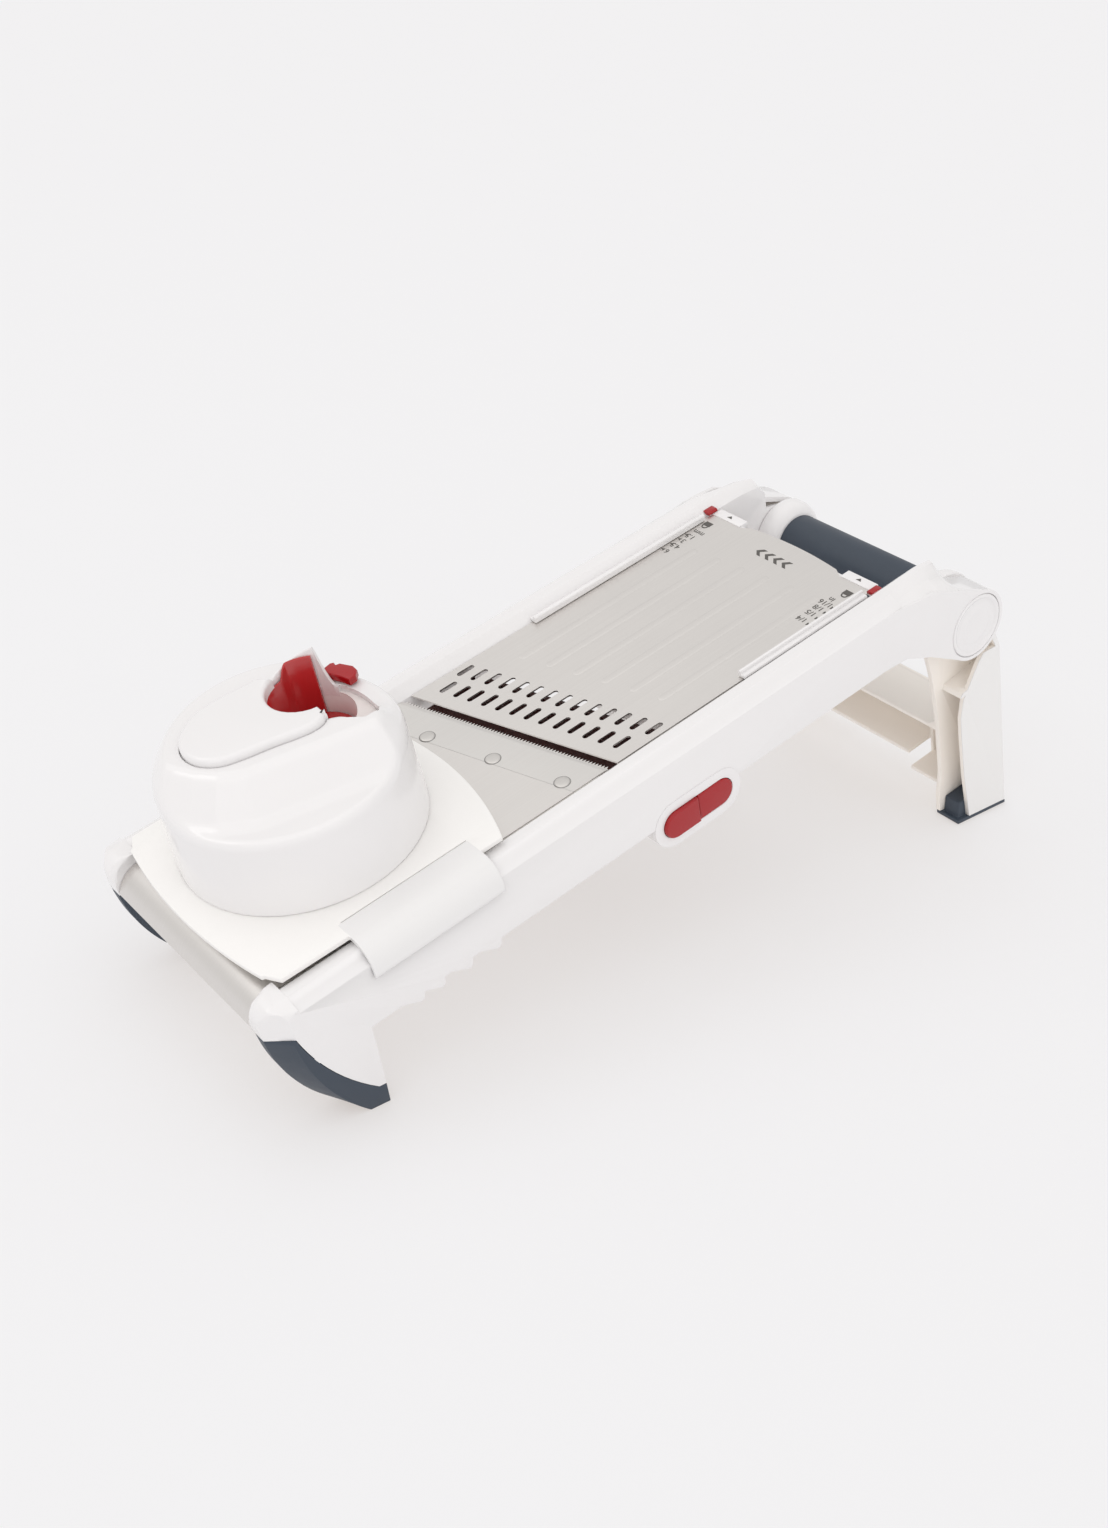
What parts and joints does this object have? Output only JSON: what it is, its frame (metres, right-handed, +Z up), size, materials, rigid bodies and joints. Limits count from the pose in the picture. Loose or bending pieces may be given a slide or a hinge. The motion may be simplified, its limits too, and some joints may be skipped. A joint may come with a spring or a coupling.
{
  "type": "mandoline slicer",
  "caption": "Folding kitchen mandoline: steel runway and slanted blade between moulded rails, grip, folding rear stand, sliding food holder with plunger.",
  "frame": {"origin": "on the table, under the middle of the whole slicer", "axes": "+X along the slicer from the low front feet to the grip, +Y across to the side with no buttons, +Z up"},
  "size_m": [0.429, 0.148, 0.1505],
  "materials": {
    "white_abs": "glossy moulded ABS, cool white",
    "cream_abs": "satin moulded plastic, warm white",
    "steel": "satin stainless sheet",
    "blade_steel": "ground stainless blade",
    "red_plastic": "glossy moulded red",
    "slate_rubber": "soft slate-grey elastomer",
    "pin_steel": "bright pin"
  },
  "bodies": {
    "frame": {"blade": "blade_steel", "blade_rivets": "blade_steel", "cross_tie_mid": "cream_abs", "cross_tie_rear": "cream_abs", "front_foot_far": "slate_rubber", "front_foot_near": "slate_rubber", "grip_collar_far": "white_abs", "grip_collar_near": "white_abs", "grip_core": "cream_abs", "grip_sleeve": "slate_rubber", "guide_strip_far": "white_abs", "guide_strip_near": "white_abs", "hinge_cap_far": "white_abs", "hinge_cap_near": "white_abs", "hinge_pin_far": "pin_steel", "hinge_pin_near": "pin_steel", "index_pointer_far": "red_plastic", "index_pointer_near": "red_plastic", "landing_bed": "cream_abs", "landing_plate": "steel", "rail_far": "white_abs", "rail_near": "white_abs", "ramp_rail_far": "cream_abs", "ramp_rail_near": "cream_abs", "tie_screws": "pin_steel"},
    "stand": {"stand_leg_near": "cream_abs", "stand_leg_far": "cream_abs", "stand_cross_member": "cream_abs", "rear_foot_near": "slate_rubber", "rear_foot_far": "slate_rubber"},
    "runway": {"runway_plate": "steel", "runway_carrier": "white_abs"},
    "wide_comb": {"comb_wide": "steel"},
    "fine_comb": {"comb_fine": "steel"},
    "front_button": {"button_front": "red_plastic"},
    "rear_button": {"button_rear": "red_plastic"},
    "holder": {"holder_base": "cream_abs", "holder_wing_near": "cream_abs", "holder_wing_far": "cream_abs", "holder_drum": "white_abs", "holder_fin": "white_abs"},
    "plunger": {"plunger_body": "red_plastic", "plunger_cap": "white_abs", "prong_plate": "cream_abs", "prongs": "steel"}
  },
  "joints": [
    {"name": "stand_fold", "type": "hinge", "parent": "frame", "child": "stand", "pos_m": [0.16387, 0, 0.1166], "axis": [0, 1, 0], "range_deg": [0, 86]},
    {"name": "runway_slide", "type": "slide", "parent": "frame", "child": "runway", "axis": [1, 0, -0.0024], "range_m": [0, 0.02474]},
    {"name": "front_button_press", "type": "slide", "parent": "frame", "child": "front_button", "axis": [0, 1, 0], "range_m": [0, 0.0035]},
    {"name": "wide_comb_lift", "type": "slide", "parent": "runway", "child": "wide_comb", "axis": [-0.2402, 0, 0.9707], "range_m": [0, 0.0055]},
    {"name": "rear_button_press", "type": "slide", "parent": "frame", "child": "rear_button", "axis": [0, 1, 0], "range_m": [0, 0.0035]},
    {"name": "fine_comb_lift", "type": "slide", "parent": "runway", "child": "fine_comb", "axis": [-0.2402, 0, 0.9707], "range_m": [0, 0.0055]},
    {"name": "holder_slide", "type": "slide", "parent": "frame", "child": "holder", "axis": [0.9707, 0, 0.2402], "range_m": [0, 0.19]},
    {"name": "plunger_lift", "type": "slide", "parent": "holder", "child": "plunger", "axis": [-0.2402, 0, 0.9707], "range_m": [0, 0.026]}
  ],
  "couplings": [
    {"joint": "wide_comb_lift", "follows": "front_button_press", "ratio": 1.5},
    {"joint": "fine_comb_lift", "follows": "rear_button_press", "ratio": 1.5}
  ]
}
